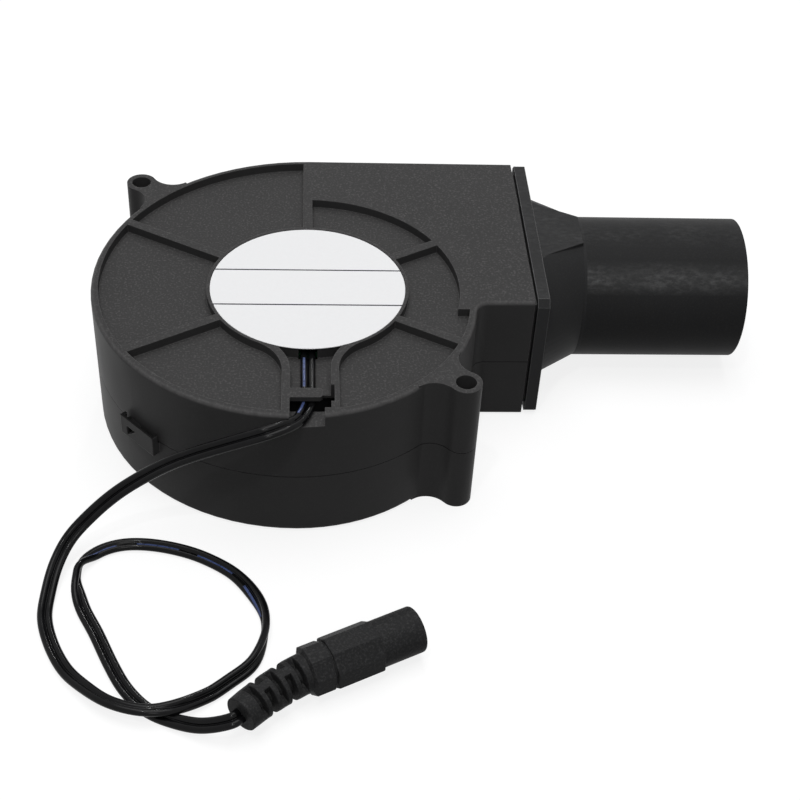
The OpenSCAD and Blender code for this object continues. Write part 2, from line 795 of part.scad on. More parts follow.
// One boxed part on the board's upper face, at an angle round the axis
module board_part(angle, r, depth, width, height) {
    rotate(angle) translate([r - depth / 2, -width / 2, board_z + board_t]) cube([depth, width, height]);
}

// Driver chip, capacitor, sensor and resistors
module circuit_components() color("#202024") {
    board_part(60, parts_r, chip_l, chip_w, chip_h);
    board_part(140, parts_r, cap_w, cap_w, cap_h);
    board_part(330, parts_r, sensor_l, sensor_w, sensor_h);
    for (angle = [200, 230]) board_part(angle, resistor_r, resistor_l, resistor_w, resistor_h);
    for (angle = [20, 100]) board_part(angle, resistor_r, small_l, small_w, small_h);
}

// Races of one bearing that starts at z, with a round groove for the balls
module outer_race(z) {
    difference() {
        ring(bearing_d / 2, ball_pitch_r + race_gap / 2, z, z + bearing_w);
        translate([0, 0, z + bearing_w / 2]) ball_track();
    }
}

module inner_race(z) {
    difference() {
        ring(ball_pitch_r - race_gap / 2, shaft_d / 2, z, z + bearing_w);
        translate([0, 0, z + bearing_w / 2]) ball_track();
    }
}

module ball_track() {
    rotate_extrude() translate([ball_pitch_r, 0]) circle(d = ball_d + 2 * groove_clear, $fn = 48);
}

module balls(z) {
    for (i = [0:ball_n - 1]) rotate(360 / ball_n * i)
        translate([ball_pitch_r, 0, z + bearing_w / 2]) sphere(d = ball_d, $fn = 32);
}

module upper_bearing_outer_race() color("silver") outer_race(upper_bearing_z);
module lower_bearing_outer_race() color("silver") outer_race(lower_bearing_z);
module upper_bearing_inner_race() color("silver") inner_race(upper_bearing_z);
module lower_bearing_inner_race() color("silver") inner_race(lower_bearing_z);
module upper_bearing_balls() color("gainsboro") balls(upper_bearing_z);
module lower_bearing_balls() color("gainsboro") balls(lower_bearing_z);

module shaft() color("silver") {
    difference() {
        translate([0, 0, yoke_z]) cylinder(d = shaft_d, h = shaft_top - yoke_z);
        ring(shaft_d, shaft_d / 2 - clip_groove, clip_z, clip_z + clip_t);
    }
}

// Open clip in the shaft groove
module retaining_clip() color("dimgray") {
    clip_in = shaft_d / 2 - clip_groove;
    difference() {
        ring(shaft_d / 2 + clip_w, clip_in, clip_z, clip_z + clip_t);
        translate([0, -clip_in, clip_z - past]) cube([shaft_d * 2, 2 * clip_in, clip_t + 2 * past]);
    }
}

// Two turns of wire between the bush and the lower bearing's inner race
module preload_spring() color("lightgray") {
    wire = 0.4;
    wire_clear = 0.15;
    turns = 2;
    steps = 36;
    coil_r = shaft_d / 2 + wire / 2 + wire_clear;
    rise = spring_h - wire;
    path = [for (k = [0:steps]) [coil_r * cos(360 * turns * k / steps), coil_r * sin(360 * turns * k / steps),
        bush_top + wire / 2 + rise * k / steps]];
    skin(rings(path, wire, wire, cord_sides, [0, 0, 1]));
}

module hub_bush() color("goldenrod") {
    ring(bush_r, shaft_d / 2, yoke_z, bush_top);
}

module rotor_yoke() color("dimgray") {
    difference() {
        translate([0, 0, yoke_z]) cylinder(r = yoke_out, h = yoke_top - yoke_z);
        translate([0, 0, yoke_z + yoke_t]) cylinder(r = yoke_in, h = yoke_top);
        translate([0, 0, yoke_z - past]) cylinder(r = bush_r + bush_clear, h = yoke_t + 2 * past);
    }
}

module rotor_magnet() color("#2b2b2b") {
    ring(yoke_in, magnet_in, magnet_z, magnet_z + magnet_h);
}

// One forward-curved blade: an arc of constant thickness from the inner to the outer radius
module blade() {
    tip_r = impeller_r - blade_inset;
    span = tip_r - blade_in_r;
    centre_r = sqrt(pow(tip_r, 2) - blade_in_r * span);
    lean = acos((pow(blade_in_r, 2) + pow(centre_r, 2) - pow(blade_curve_r, 2)) / (2 * blade_in_r * centre_r));
    bottom = ring_z + ring_t / 2;
    height = back_plate_z + back_plate_t / 2 - bottom;
    intersection() {
        rotate(lean) translate([centre_r, 0, bottom]) difference() {
            cylinder(r = blade_curve_r + blade_t / 2, h = height, $fn = 64);
            translate([0, 0, -past]) cylinder(r = blade_curve_r - blade_t / 2, h = height + 2 * past, $fn = 64);
        }
        ring(tip_r, blade_in_r, bottom, bottom + height);
        translate([0, -2 * impeller_r, 0]) cube([2 * impeller_r, 2 * impeller_r, housing_h]);
    }
}

module impeller() color("#1f1f21") {
    flare_stop = 0.5;
    flare_r = blade_in_r - hub_out - flare_stop;
    nose = 2.4;
    // Hub cup, flare and back plate as one revolved profile
    rotate_extrude() polygon(concat(
        [[0, hub_z]],
        arc([hub_out - nose, hub_z + nose], nose, -90, 0, 6),
        arc([hub_out + flare_r, back_plate_z - flare_r], flare_r, 180, 90, 8),
        [[impeller_r, back_plate_z], [impeller_r, back_plate_top], [yoke_out, back_plate_top],
         [yoke_out, yoke_z], [0, yoke_z]]));
    for (i = [0:blade_n - 1]) rotate(360 / blade_n * i) blade();
    ring(impeller_r, impeller_r - ring_w, ring_z, ring_z + ring_t);
}

// The two strands from the board, up through the well and along the channel to the notch
module lead_wires() color("#141416") {
    rise_y = -well_in - wire_in;
    board_top = board_z + board_t;
    bend_z = strand_z - wire_bend;
    path = curve(concat([[0, rise_y, board_top], [0, rise_y, (board_top + bend_z) / 2]],
        [for (p = arc([rise_y - wire_bend, bend_z], wire_bend, 0, 90, 2)) [0, p.x, p.y]],
        [for (k = [2, 4, 7]) [0, rise_y - k * wire_bend, strand_z]],
        [[0, hook_y, strand_z], cord_start]), 3);
    for (side = [-1, 1]) translate([side * strand_x, 0, 0])
        skin(rings(path, strand_d, strand_d, wire_sides, [1, 0, 0]));
}

module lead_cord() color("#141416") {
    skin(rings(curve(cord_route, 1), cord_w, strand_d, cord_sides, [0, 0, 1]));
}

// Places its children along the jack's axis, x from the collar's rear to the front
module on_jack() {
    translate(jack_at) rotate(jack_turn) children();
}

// An eight-sided bar along x, flat side down
module octagon_bar(af, u0, u1) {
    sides = 8;
    half = 180 / sides;
    translate([u0, 0, 0]) rotate([0, 90, 0]) rotate(half)
        cylinder(r = af / 2 / cos(half), h = u1 - u0, $fn = sides);
}

module round_bar(r, u0, u1) {
    translate([u0, 0, 0]) rotate([0, 90, 0]) cylinder(r = r, h = u1 - u0);
}

// Bent strain relief: a cone with slots from both sides that leave a core and an upright web
module strain_relief() {
    pitch = relief_ring_w + relief_slot_w;
    sunk = 1.2;
    rotate(relief_bend) translate([-relief_len, 0, 0]) difference() {
        rotate([0, 90, 0]) cylinder(d1 = relief_d, d2 = relief_big_d, h = relief_len + sunk);
        for (i = [1:relief_slots]) difference() {
            translate([i * pitch - relief_slot_w, -grip_af, -grip_af])
                cube([relief_slot_w, 2 * grip_af, 2 * grip_af]);
            round_bar(relief_core_d / 2, 0, relief_len);
            translate([0, -relief_web / 2, -grip_af]) cube([relief_len, relief_web, 2 * grip_af]);
        }
    }
}

module jack_body() color("#1b1b1c") on_jack() {
    difference() {
        union() {
            strain_relief();
            octagon_bar(collar_af, 0, collar_len);
            round_bar(barrel_d / 2 - groove_d, collar_len - past, grip_u + past);
            octagon_bar(grip_af, grip_u, barrel_u);
            round_bar(barrel_d / 2, barrel_u - past, jack_len);
        }
        round_bar(insulator_r, jack_len - socket_depth - socket_base, jack_len + past);
    }
}

module jack_insulator() color("#101011") on_jack() {
    base_u = jack_len - socket_depth;
    difference() {
        round_bar(insulator_r, base_u - socket_base, jack_len - insulator_in);
        round_bar(socket_d / 2, base_u, jack_len + past);
        round_bar(pin_d / 2, base_u - socket_base - past, base_u + past);
        translate([base_u, -contact_w / 2, socket_d / 2 - contact_t])
            cube([socket_depth + past, contact_w, 2 * contact_t]);
    }
}

module jack_centre_pin() color("silver") on_jack() {
    pin_end = jack_len - pin_in - pin_d / 2;
    round_bar(pin_d / 2, jack_len - socket_depth - socket_base, pin_end);
    translate([pin_end, 0, 0]) sphere(d = pin_d, $fn = 48);
}

// Leaf contact in a slot of the socket's wall
module jack_sleeve_contact() color("silver") on_jack() {
    translate([jack_len - socket_depth, -contact_w / 2, socket_d / 2])
        cube([socket_depth - contact_in, contact_w, contact_t]);
}

motor_housing();
inlet_housing();
outlet_adapter();
motor_label();
bearing_tube();
stator_core();
stator_insulators();
stator_windings();
circuit_board();
circuit_components();
upper_bearing_outer_race();
lower_bearing_outer_race();
upper_bearing_balls();
lower_bearing_balls();
upper_bearing_inner_race();
lower_bearing_inner_race();
shaft();
retaining_clip();
preload_spring();
hub_bush();
rotor_yoke();
rotor_magnet();
impeller();
lead_wires();
lead_cord();
jack_body();
jack_insulator();
jack_centre_pin();
jack_sleeve_contact();
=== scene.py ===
"""Looks of the centrifugal blower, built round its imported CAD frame.

Sizes and places on the object are named in millimetres, and MM turns them into metres.
The stage is in metres.
"""
import json
import math

import bpy
from mathutils import Matrix, Vector


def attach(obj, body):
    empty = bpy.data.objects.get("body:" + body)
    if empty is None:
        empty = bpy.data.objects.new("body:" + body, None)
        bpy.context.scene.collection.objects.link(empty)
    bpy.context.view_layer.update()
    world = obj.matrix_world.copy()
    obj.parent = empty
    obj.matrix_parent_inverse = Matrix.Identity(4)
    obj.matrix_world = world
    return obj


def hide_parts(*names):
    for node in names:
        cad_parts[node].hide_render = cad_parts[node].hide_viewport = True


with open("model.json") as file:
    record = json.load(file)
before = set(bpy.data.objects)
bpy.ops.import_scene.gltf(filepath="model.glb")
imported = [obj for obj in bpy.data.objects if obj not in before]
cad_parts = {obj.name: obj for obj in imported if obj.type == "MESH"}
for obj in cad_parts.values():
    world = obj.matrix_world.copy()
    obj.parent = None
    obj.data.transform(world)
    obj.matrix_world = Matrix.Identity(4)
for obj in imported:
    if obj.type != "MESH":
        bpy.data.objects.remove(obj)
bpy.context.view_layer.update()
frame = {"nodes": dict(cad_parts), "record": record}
nodes = frame["nodes"]
scene = bpy.context.scene
MM = 0.001
UP = Vector((0, 0, 1))

# Camera of the photograph: place in millimetres, angles in degrees, clipping in metres
CAM_AT = (-1.33, -263.96, 234.39)
CAM_YAW = 5.02
CAM_PITCH = 41.55
CAM_ROLL = 3.58
SENSOR = 36.0
LENS = 67.635
CLIP_NEAR = 0.01
CLIP_FAR = 20.0


def make_camera():
    yaw, pitch, roll = (math.radians(a) for a in (CAM_YAW, CAM_PITCH, CAM_ROLL))
    level = math.cos(pitch)
    ahead = Vector((math.sin(yaw) * level, math.cos(yaw) * level, -math.sin(pitch)))
    side = Vector((math.cos(yaw), -math.sin(yaw), 0.0))
    top = side.cross(ahead)
    right = math.cos(roll) * side + math.sin(roll) * top
    up = math.cos(roll) * top - math.sin(roll) * side
    data = bpy.data.cameras.new("photo_camera")
    data.sensor_width = SENSOR
    data.lens = LENS
    data.clip_start = CLIP_NEAR
    data.clip_end = CLIP_FAR
    camera = bpy.data.objects.new("photo_camera", data)
    turn = Matrix((right, up, -ahead)).transposed().to_4x4()
    camera.matrix_world = Matrix.Translation(Vector(CAM_AT) * MM) @ turn
    scene.collection.objects.link(camera)
    scene.camera = camera


make_camera()


def smooth(points, steps):
    """Points of a smooth curve through the given ones, with this many steps from one to the next."""
    last = len(points) - 1
    made = []
    for i in range(last):
        a, b = points[max(i - 1, 0)], points[i]
        c, d = points[i + 1], points[min(i + 2, last)]
        for k in range(steps):
            t = k / steps
            made.append(0.5 * (2 * b + (c - a) * t + (2 * a - 5 * b + 4 * c - d) * t * t
                               + (3 * b - a - 3 * c + d) * t * t * t))
    made.append(points[last])
    return made


def lengths(path):
    """Distance of each point of a path from its start."""
    found = [0.0]
    for a, b in zip(path, path[1:]):
        found.append(found[-1] + (b - a).length)
    return found


def heading(path, i):
    """Direction of a path at its point i."""
    return (path[min(i + 1, len(path) - 1)] - path[max(i - 1, 0)]).normalized()


def mesh_object(name, verts, faces, smooth_faces=True):
    mesh = bpy.data.meshes.new(name)
    mesh.from_pydata([tuple(v) for v in verts], [], faces)
    mesh.update()
    for face in mesh.polygons:
        face.use_smooth = smooth_faces
    obj = bpy.data.objects.new(name, mesh)
    scene.collection.objects.link(obj)
    return obj


def closed_skin(name, rows, smooth_faces=True):
    """A closed mesh over rings of points that run the same way round, with a flat cap at each end."""
    count = len(rows[0])
    faces = [tuple(range(count - 1, -1, -1))]
    for i in range(len(rows) - 1):
        for k in range(count):
            n = (k + 1) % count
            faces.append((i * count + k, i * count + n, (i + 1) * count + n, (i + 1) * count + k))
    faces.append(tuple((len(rows) - 1) * count + k for k in range(count)))
    return mesh_object(name, [point for row in rows for point in row], faces, smooth_faces)


# Jack: sizes of collar, groove, grip, barrel and socket
JACK_SIDES = 96
FACETS = 8
GRIP_AF = 10.0
GRIP_LEN = 10.0
COLLAR_AF = 9.6
COLLAR_IN = 0.35
COLLAR_LEN = 4.7
GROOVE_W = 0.5
GROOVE_DEPTH = 0.3
BARREL_R = 4.75
BARREL_LEN = 9.5
FRONT_ROUND = 0.6
FRONT_STEPS = 4
SOCKET_R = 3.82
SOCKET_DEPTH = 12.0
BEVEL = 0.25
# Bevel at the collar's rear: its length, and its depth
COLLAR_BEVEL = (0.45, 0.75)
# Place of the collar's rear, heading, and stations from there along the axis
JACK_AT = Vector((-0.7, -84.5, GRIP_AF / 2))
JACK_TURN = math.radians(26)
JACK_AXIS = Vector((math.cos(JACK_TURN), math.sin(JACK_TURN), 0))
GRIP_U = COLLAR_LEN + GROOVE_W
BARREL_U = GRIP_U + GRIP_LEN
FRONT_U = BARREL_U + BARREL_LEN
# Strain relief: a cone that bows to its left by RELIEF_BOW, with two kinds of slots in turn, down to a core
RELIEF_LEN = 15.0
RELIEF_TURN = math.radians(39.3)
RELIEF_AXIS = Vector((math.cos(RELIEF_TURN), math.sin(RELIEF_TURN), 0))
JACK_REAR = JACK_AT - RELIEF_LEN * RELIEF_AXIS
RELIEF_R = (3.62, 4.0)
RELIEF_BOW = 0.5
CORE_R = 1.75
# Slots: number, first one's middle from the rear, pitch, width, bevel of the edges, and half a wall's lean
SLOT_COUNT = 5
SLOT_FIRST = 3.3
SLOT_PITCH = 2.45
SLOT_W = 1.4
SLOT_EDGE = 0.16
SLOT_WALL = 0.03
# Middle and half width of each kind's two slots, in degrees from the top to the right
SLOT_KINDS = (((30, 65), (210, 65)), ((92, 75), (272, 75)))


def circle(r):
    """Outline with the same radius at every angle."""
    return lambda angle: r


def octagon(across):
    """Radius of an eight-sided outline with a flat on top, by the angle from the top in degrees."""
    half = 180 / FACETS
    return lambda angle: across / 2 / math.cos(math.radians((angle + half) % (2 * half) - half))


def slotted(r, inner, slots):
    """Radius of a round outline that falls to inner between the slots' angles."""
    def outline(angle):
        off = [abs((angle - middle + 180) % 360 - 180) - half for middle, half in slots]
        return inner if min(off) < 0 else r
    return outline


def relief_rows():
    """Rows of the strain relief from its rear: station, and outline there."""
    small, big = RELIEF_R
    rows = [(0.0, circle(small - SLOT_EDGE)), (SLOT_EDGE, circle(small))]
    for i in range(SLOT_COUNT):
        middle = SLOT_FIRST + i * SLOT_PITCH
        start, end = middle - SLOT_W / 2, middle + SLOT_W / 2
        r = small + (big - small) * middle / RELIEF_LEN
        slots = SLOT_KINDS[i % len(SLOT_KINDS)]
        whole = circle(r)
        rim = slotted(r, r - SLOT_EDGE, slots)
        cut = slotted(r, CORE_R, slots)
        rows.extend([(start - SLOT_EDGE, whole), (start - SLOT_WALL, rim), (start + SLOT_WALL, cut),
                     (end - SLOT_WALL, cut), (end + SLOT_WALL, rim), (end + SLOT_EDGE, whole)])
    return rows


def body_rows():
    """Rows of the jack from the collar's rear to the front and back in to the socket's floor."""
    slope, depth = COLLAR_BEVEL
    groove = circle(BARREL_R - GROOVE_DEPTH)
    socket = circle(SOCKET_R)
    rows = [(COLLAR_IN, circle(RELIEF_R[1])), (COLLAR_IN, octagon(COLLAR_AF - 2 * depth)),
            (COLLAR_IN + slope, octagon(COLLAR_AF)), (COLLAR_LEN - BEVEL, octagon(COLLAR_AF)),
            (COLLAR_LEN, octagon(COLLAR_AF - BEVEL)), (COLLAR_LEN, groove),
            (GRIP_U, groove), (GRIP_U, octagon(GRIP_AF - BEVEL)), (GRIP_U + BEVEL, octagon(GRIP_AF)),
            (BARREL_U - BEVEL, octagon(GRIP_AF)), (BARREL_U, octagon(GRIP_AF - BEVEL)),
            (BARREL_U, circle(BARREL_R))]
    for k in range(FRONT_STEPS + 1):
        a = math.pi / 2 * k / FRONT_STEPS
        rows.append((FRONT_U - FRONT_ROUND * (1 - math.sin(a)),
                     circle(BARREL_R - FRONT_ROUND * (1 - math.cos(a)))))
    rows.extend([(FRONT_U, socket), (FRONT_U - SOCKET_DEPTH, socket)])
    return rows


def jack_rows():
    """Rows of the whole jack: centre, heading and outline. The relief's middle line is a parabola."""
    left = UP.cross(RELIEF_AXIS)
    rows = []
    for s, outline in relief_rows():
        t = s / RELIEF_LEN
        centre = JACK_REAR + s * RELIEF_AXIS + 4 * RELIEF_BOW * t * (1 - t) * left
        ahead = RELIEF_AXIS + 4 * RELIEF_BOW / RELIEF_LEN * (1 - 2 * t) * left
        rows.append((centre, ahead.normalized(), outline))
    for u, outline in body_rows():
        rows.append((JACK_AT + u * JACK_AXIS, JACK_AXIS, outline))
    return rows


def make_jack():
    rings = []
    for centre, ahead, outline in jack_rows():
        right = ahead.cross(UP)
        ring = []
        for k in range(JACK_SIDES):
            angle = 360 * k / JACK_SIDES
            a = math.radians(angle)
            ring.append((centre + outline(angle) * (math.cos(a) * UP + math.sin(a) * right)) * MM)
        rings.append(ring)
    shell = closed_skin("jack_shell", rings)
    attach(shell, "housing")
    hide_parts("jack_body")
    return shell


# Free lead: radius of a strand, its heights in the channel and on the table, and the straight start
STRAND_R = 0.76
STRAND_Z = 30.8
REST = 0.77
CORD_LEAD = 1.0
CORD_START = Vector((-1.2, -40.2, STRAND_Z))
CORD_AHEAD = Vector((-0.48, -0.88, 0.0))
# Points of the route from the notch to the jack, fitted to the photograph
ROUTE = [
    CORD_START, CORD_START + CORD_LEAD * CORD_AHEAD, (-2.8, -42.6, 31.1), (-4.9, -44.3, 31.5),
    (-9, -45.8, 31), (-15.5, -45.6, 28.3), (-22.5, -44.6, 24.5), (-28, -43.8, 21),
    (-33.5, -43.5, 17), (-39, -44.2, 13), (-44, -46, 9), (-48.5, -49.5, 5.5), (-51, -54.5, 3),
    (-52, -61, 1.5), (-52, -67, REST), (-50, -73.5, REST), (-46.5, -80, 1),
    (-42, -85, 1.8), (-37, -89, 2.6), (-31, -91, 2.8), (-25.5, -90.5, 2.6), (-20, -87.5, 1.6),
    (-15, -83.5, REST), (-10.5, -79, REST), (-8.5, -73, REST), (-8.5, -67, REST),
    (-11, -61, REST), (-15, -55.5, REST), (-21, -51.2, REST), (-27, -48.6, REST),
    (-33.5, -47.2, REST), (-39, -47.4, REST), (-43.5, -49.5, REST),
    (-46.5, -53.5, REST), (-46.6, -58.5, REST), (-44.8, -64.5, REST),
    (-41.5, -71, REST), (-38, -78.5, REST), (-35, -84, REST), (-31.6, -88.2, REST),
    (-28.4, -90.6, REST), (-24.6, -92.5, 1.2), (-20.6, -94.2, 2.2), (-17.2, -95.2, 3.7),
    JACK_REAR - 2 * CORD_LEAD * RELIEF_AXIS, JACK_REAR]
# Turn of the twin lead about its own line at some of the route's points, in degrees
TWIST = [(0, 0), (2, -10), (5, -45), (9, -45), (13, -12), (16, 0), (18, -20), (19, -20), (21, 38),
         (22.5, 45), (24.5, 100), (27, 180), (32, 180), (33.5, 270), (35, 360), (40, 360), (42.5, 390),
         (45, 390)]
CORD_STEPS = 6
# Each strand's circle stops short of the web by this angle from its outer side
STRAND_OPEN = 160
STRAND_POINTS = 18
# Angle on the strand that bears the printed line, and the value that marks the other strand
PRINT_ANGLE = 285.0
NO_PRINT = -1.0


def tube(name, path, section_at, up):
    """A closed tube over a path, with the length along it and the angle round it stored at its points.

    section_at(i) gives the section at point i as (side, up, angle on the strand).
    """
    rings = []
    along = []
    around = []
    far = lengths(path)
    for i, p in enumerate(path):
        ahead = heading(path, i)
        side = up.cross(ahead).normalized()
        top = ahead.cross(side)
        ring = []
        for x, y, angle in section_at(i):
            ring.append(p + side * x + top * y)
            along.append(far[i])
            around.append(angle)
        rings.append(ring)
    obj = closed_skin(name, rings)
    for key, values in (("along", along), ("around", around)):
        layer = obj.data.attributes.new(key, "FLOAT", "POINT")
        layer.data.foreach_set("value", values)
    return obj


def twist_at(index):
    """Turn of the lead at a place on the route, eased from one given turn to the next."""
    for (a, x), (b, y) in zip(TWIST, TWIST[1:]):
        if index <= b:
            t = (index - a) / (b - a)
            return math.radians(x + (y - x) * t * t * (3 - 2 * t))
    return math.radians(TWIST[-1][1])


def twin_section(turn):
    """Two round strands joined by a narrow web, turned about the middle. Only the left one is printed."""
    r = STRAND_R * MM
    c, s = math.cos(turn), math.sin(turn)
    points = []
    for centre, start, printed in ((r, -STRAND_OPEN, False), (-r, 180 - STRAND_OPEN, True)):
        for k in range(STRAND_POINTS + 1):
            degrees = start + 2 * STRAND_OPEN * k / STRAND_POINTS
            a = math.radians(degrees)
            x, y = centre + r * math.cos(a), r * math.sin(a)
            points.append((x * c - y * s, x * s + y * c, degrees if printed else NO_PRINT))
    return points


def make_cord():
    path = smooth([Vector(p) * MM for p in ROUTE], CORD_STEPS)
    turns = [twist_at(i / CORD_STEPS) for i in range(len(path))]
    # A lead that stands on edge lies higher, so that no strand sinks into the table
    lifted = []
    for p, turn in zip(path, turns):
        low = STRAND_R * MM * (1 + abs(math.sin(turn)))
        lifted.append(Vector((p.x, p.y, max(p.z, low))))
    lead = tube("twin_lead", lifted, lambda i: twin_section(turns[i]), UP)
    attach(lead, "housing")
    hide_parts("lead_cord")
    return lead


# Strands in the wire channel: they rise WIRE_IN past the well's inner edge, from the board to a bend
BOARD_TOP = 25.6
WELL_IN = 12.5
WIRE_IN = 1.2
WIRE_BEND = 1.6
WIRE_GAP = 0.1
# Then they run along to the hook, and turn behind it into the lead
HOOK_Y = -35.4
TURN_AT = (-0.35, -37.9)
WIRE_STEPS = 8
WIRE_SIDES = 24
BEND_ANGLES = (0, math.pi / 4, math.pi / 2)
# Points on the straight run, as numbers of bend radii from where the strands rise
RUN_BENDS = (2, 4, 7)
# A step of the path that heads down the channel by less than this counts as rising
RISING = 0.1


def channel_points():
    """Points on the middle line of the two strands, from the board to the lead's start."""
    rise_y = -WELL_IN - WIRE_IN
    bend_z = STRAND_Z - WIRE_BEND
    points = [(0, rise_y, BOARD_TOP), (0, rise_y, (BOARD_TOP + bend_z) / 2)]
    for a in BEND_ANGLES:
        points.append((0, rise_y - WIRE_BEND * (1 - math.cos(a)), bend_z + WIRE_BEND * math.sin(a)))
    for bends in RUN_BENDS:
        points.append((0, rise_y - bends * WIRE_BEND, STRAND_Z))
    points.extend([(0, HOOK_Y, STRAND_Z), (*TURN_AT, STRAND_Z), CORD_START])
    return points


def round_section(printed):
    """Section of one strand in the channel, with the angles that place its print on top."""
    points = []
    for k in range(WIRE_SIDES):
        a = 2 * math.pi * k / WIRE_SIDES
        angle = (math.degrees(a) + PRINT_ANGLE - 180) % 360 if printed else NO_PRINT
        points.append((STRAND_R * MM * math.cos(a), STRAND_R * MM * math.sin(a), angle))
    return points


def make_channel_wires():
    middle = smooth([Vector(p) * MM for p in channel_points()], WIRE_STEPS)
    made = []
    for name, side in (("channel_strand_left", -1), ("channel_strand_right", 1)):
        path = []
        for i, p in enumerate(middle):
            ahead = heading(middle, i)
            across = Vector((-ahead.y, ahead.x, 0.0)) if ahead.y < -RISING else Vector((1.0, 0.0, 0.0))
            path.append(p + side * (STRAND_R + WIRE_GAP / 2) * MM * across.normalized())
        section = round_section(printed=side < 0)
        wire = tube(name, path, lambda i: section, Vector((1, 0, 0)))
        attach(wire, "housing")
        made.append(wire)
    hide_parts("lead_wires")
    return made


jack = make_jack()
cord = make_cord()
wires = make_channel_wires()

# Label: the roundness of its edge, and the points round the film and over its edge
LABEL_EDGE = 0.08
LABEL_TURNS = 160
EDGE_STEPS = 5


def make_label():
    """A thin film with a rounded edge, which takes its place and size from the CAD label."""
    corners = [v.co for v in nodes["motor_label"].data.vertices]
    flat_r = max(v.x for v in corners) - LABEL_EDGE * MM
    base = min(v.z for v in corners)
    thick = max(v.z for v in corners) - base
    turns = [2 * math.pi * k / LABEL_TURNS for k in range(LABEL_TURNS)]
    rings = []
    for i in range(EDGE_STEPS + 1):
        tilt = math.radians(-90 + 180 * i / EDGE_STEPS)
        r = flat_r + LABEL_EDGE * MM * math.cos(tilt)
        z = base + thick / 2 * (1 + math.sin(tilt))
        rings.append([Vector((r * math.cos(a), r * math.sin(a), z)) for a in turns])
    disc = closed_skin("label_film_disc", rings, smooth_faces=False)
    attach(disc, "housing")
    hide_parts("motor_label")
    return disc


label = make_label()

# Sockets of a node that mixes colours
MIX_SHARE = 0
MIX_FROM = 6
MIX_TO = 7
MIX_RESULT = 2
# Where most of a noise's values lie
MID = (0.3, 0.7)
WHOLE = (0.0, 1.0)
# Rise of a face's normal, from a wall to a top
TOP_SLOPE = (0.35, 0.9)
# Agreement of the true and the rounded normal, from an even face to a sharp edge
EDGE_DOT = (0.985, 0.85)
EDGE_SAMPLES = 6


class Nodes:
    """Short ways to build a node tree."""

    def __init__(self, tree):
        self.tree = tree

    def put(self, value, socket):
        """Link an output to the socket, or set the socket's own value."""
        if isinstance(value, bpy.types.NodeSocket):
            self.tree.links.new(value, socket)
        elif socket.type == "RGBA":
            socket.default_value = (*value, 1.0)
        else:
            socket.default_value = value

    def add(self, kind, inputs=(), **settings):
        node = self.tree.nodes.new(kind)
        for key, value in settings.items():
            setattr(node, key, value)
        for key, value in dict(inputs).items():
            self.put(value, node.inputs[key])
        return node

    def math(self, kind, a, b=0.0, c=0.0):
        return self.add("ShaderNodeMath", {0: a, 1: b, 2: c}, operation=kind).outputs[0]

    def product(self, first, *others):
        for other in others:
            first = self.math("MULTIPLY", first, other)
        return first

    def span(self, value, given, wanted=WHOLE):
        """Value with its given range stretched to the wanted one, and cut off beyond it."""
        ends = {"From Min": given[0], "From Max": given[1], "To Min": wanted[0], "To Max": wanted[1]}
        return self.add("ShaderNodeMapRange", {"Value": value, **ends}).outputs["Result"]


class Look(Nodes):
    """One material, built round its principled shader."""

    def __init__(self, name):
        self.mat = bpy.data.materials.new(name)
        self.mat.use_nodes = True
        super().__init__(self.mat.node_tree)
        self.shader = self.tree.nodes["Principled BSDF"]
        self.coord = self.add("ShaderNodeTexCoord").outputs["Object"]

    def noise(self, grain, stretch=None):
        """Noise with a grain of (scale per metre, detail, roughness)."""
        scale, detail, rough = grain
        vector = self.coord
        if stretch:
            vector = self.add("ShaderNodeMapping", {"Vector": vector, "Scale": stretch}).outputs["Vector"]
        inputs = {"Vector": vector, "Scale": scale, "Detail": detail, "Roughness": rough}
        return self.add("ShaderNodeTexNoise", inputs).outputs["Fac"]

    def axis(self, name, vector=None):
        """One axis of a vector, or else of the place on the object."""
        given = self.coord if vector is None else vector
        return self.add("ShaderNodeSeparateXYZ", {"Vector": given}).outputs[name]

    def mix(self, share, a, b):
        sockets = {MIX_SHARE: share, MIX_FROM: a, MIX_TO: b}
        return self.add("ShaderNodeMix", sockets, data_type="RGBA").outputs[MIX_RESULT]

    def drift(self, noise, base, tones):
        """Base colour that drifts between two tones of itself."""
        low, high = tones
        return self.mix(self.span(noise, MID), tint(base, low), tint(base, high))

    def normal(self, kind="Normal"):
        return self.add("ShaderNodeNewGeometry").outputs[kind]

    def upward(self):
        """How far a face looks up: 0 on walls, 1 on flat tops."""
        return self.span(self.axis("Z", self.normal("True Normal")), TOP_SLOPE)

    def edge(self, radius):
        """Normal that rounds sharp edges, and a mask of those edges."""
        rounded = self.add("ShaderNodeBevel", {"Radius": radius}, samples=EDGE_SAMPLES).outputs["Normal"]
        both = {0: rounded, 1: self.normal()}
        dot = self.add("ShaderNodeVectorMath", both, operation="DOT_PRODUCT").outputs["Value"]
        return rounded, self.span(dot, EDGE_DOT)

    def bump(self, height, strength, distance, normal=None):
        inputs = {"Height": height, "Strength": strength, "Distance": distance}
        if normal is not None:
            inputs["Normal"] = normal
        return self.add("ShaderNodeBump", inputs).outputs["Normal"]

    def set(self, **values):
        """Fill the shader's sockets, with underscores for the spaces in their names."""
        for key, value in values.items():
            self.put(value, self.shader.inputs[key.replace("_", " ")])
        return self.mat


def tint(colour, factor):
    return tuple(min(c * factor, 1.0) for c in colour)


# Housing: noises, width of a rounded edge, depth of the grain, and tones as factors on the base colour,
# among them the painted shade of the catches' ledges
HOUSING_FINE = (2600.0, 4.0, 0.7)
HOUSING_DOTS = (2100.0, 2.0, 0.5)
HOUSING_SLOW = (55.0, 3.0, 0.55)
HOUSING_PATCHES = (700.0, 3.0, 0.7)
HOUSING_EDGE = 0.35
HOUSING_DEPTH = 0.06
HOUSING_TONES = (0.93, 1.07)
LEDGE_SHADE_TONE = 0.1
SEAM_TONE = 0.12
